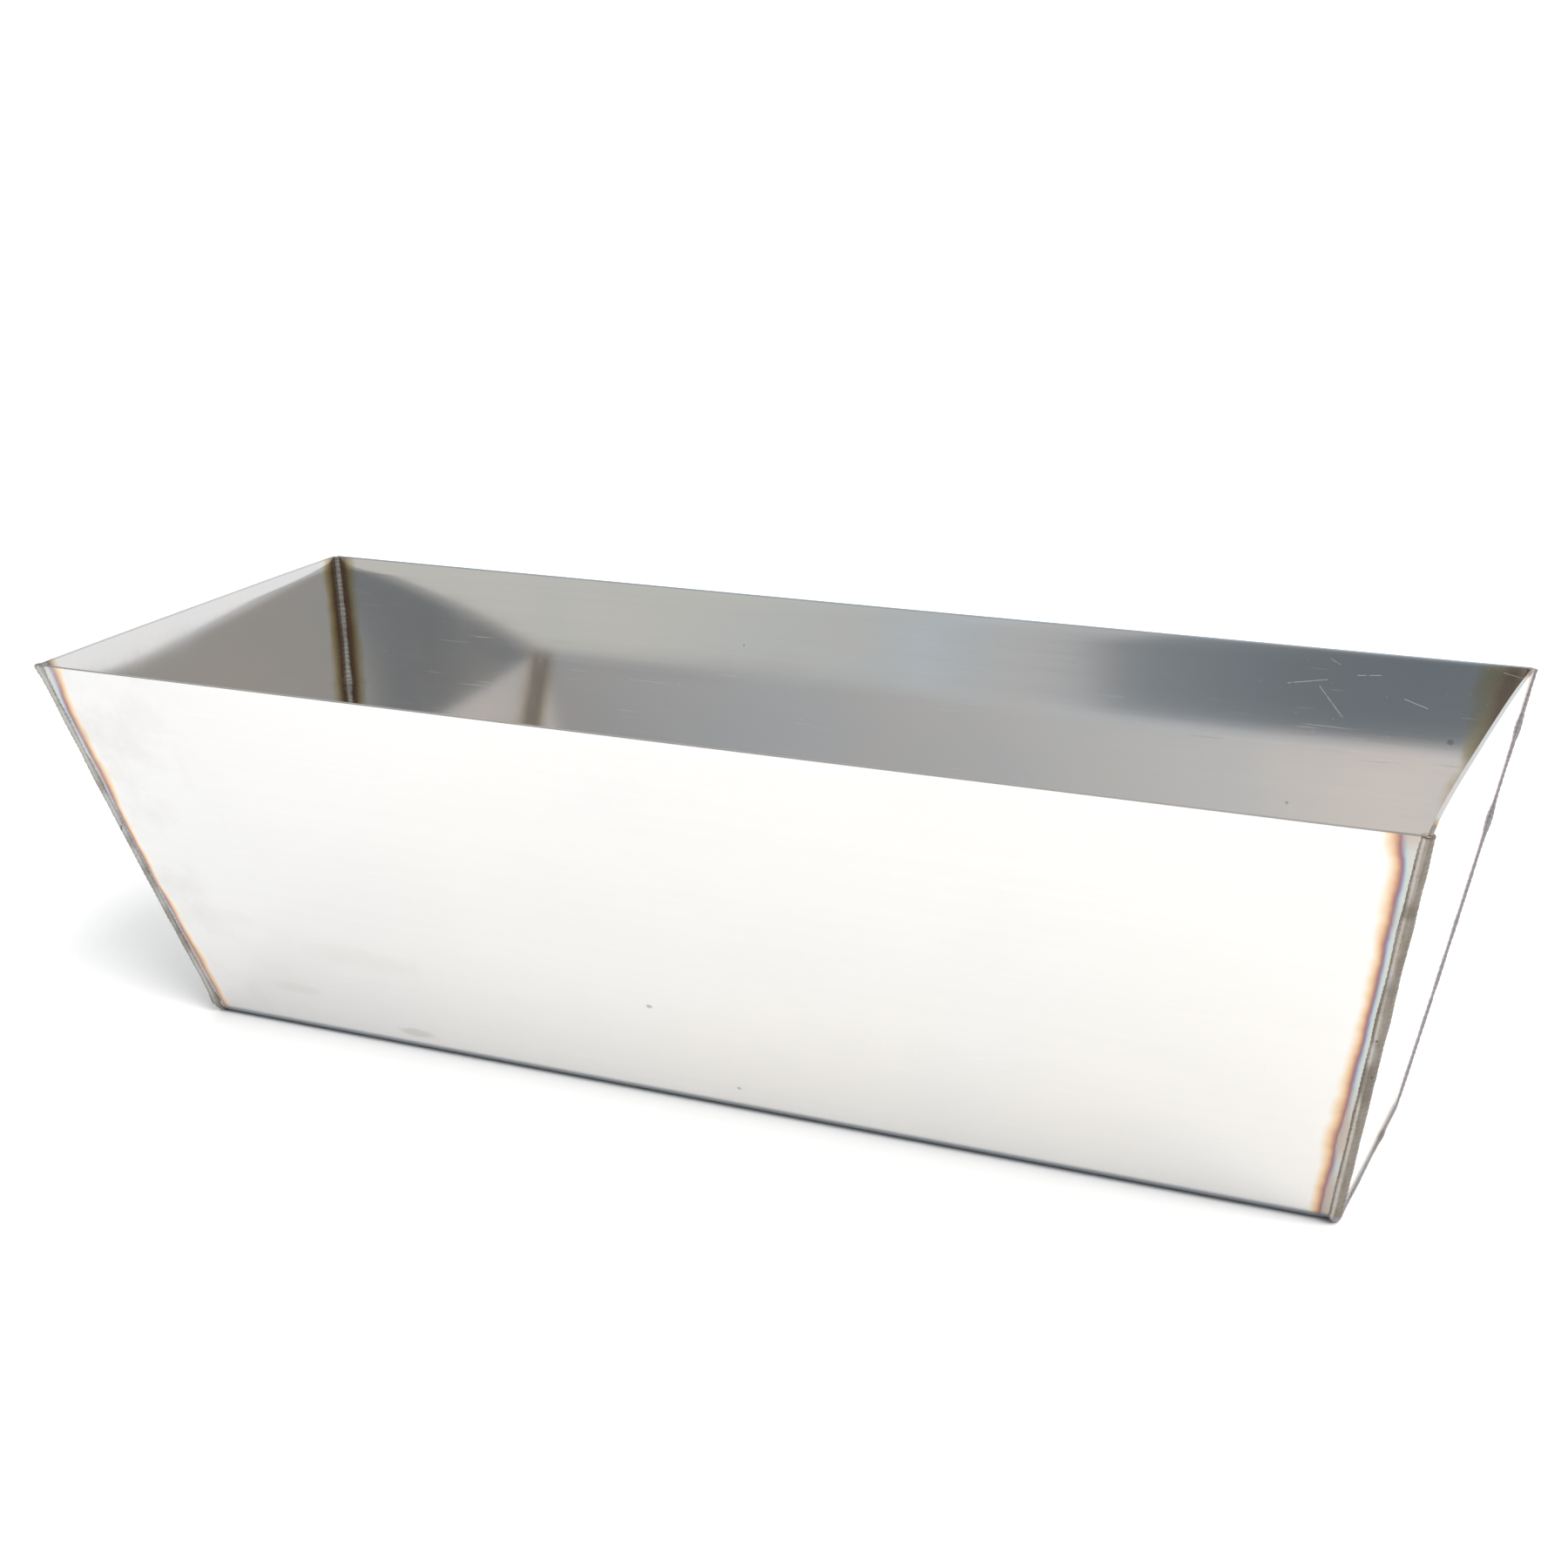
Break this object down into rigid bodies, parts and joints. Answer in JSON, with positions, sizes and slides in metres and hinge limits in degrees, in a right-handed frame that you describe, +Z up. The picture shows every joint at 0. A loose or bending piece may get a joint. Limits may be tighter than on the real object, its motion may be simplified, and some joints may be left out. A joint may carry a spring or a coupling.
{
  "type": "mud pan",
  "caption": "Long open drywall mud pan with sloping sides and ends, folded from thin stainless sheet with flat end plates welded on, for carrying joint compound.",
  "frame": {"origin": "middle of the underside, on the surface the pan rests on", "axes": "+X along the length to the right end plate, +Y across to the back wall, +Z up out of the open mouth"},
  "size_m": [0.3064, 0.1154, 0.092],
  "materials": {
    "brushed_sheet": "brushed along the length",
    "plain_sheet": "smooth mill finish",
    "weld_bead": "rippled bead with heat tint",
    "weld_root": "rough root with dark heat tint"
  },
  "bodies": {
    "root": {"trough": "brushed_sheet", "left_end_plate": "plain_sheet", "right_end_plate": "plain_sheet", "left_front_weld": "weld_bead", "left_floor_weld": "weld_bead", "left_back_weld": "weld_bead", "right_front_weld": "weld_bead", "right_floor_weld": "weld_bead", "right_back_weld": "weld_bead", "left_front_root": "weld_root", "left_floor_root": "weld_root", "left_back_root": "weld_root", "right_front_root": "weld_root", "right_floor_root": "weld_root", "right_back_root": "weld_root"}
  },
  "joints": []
}
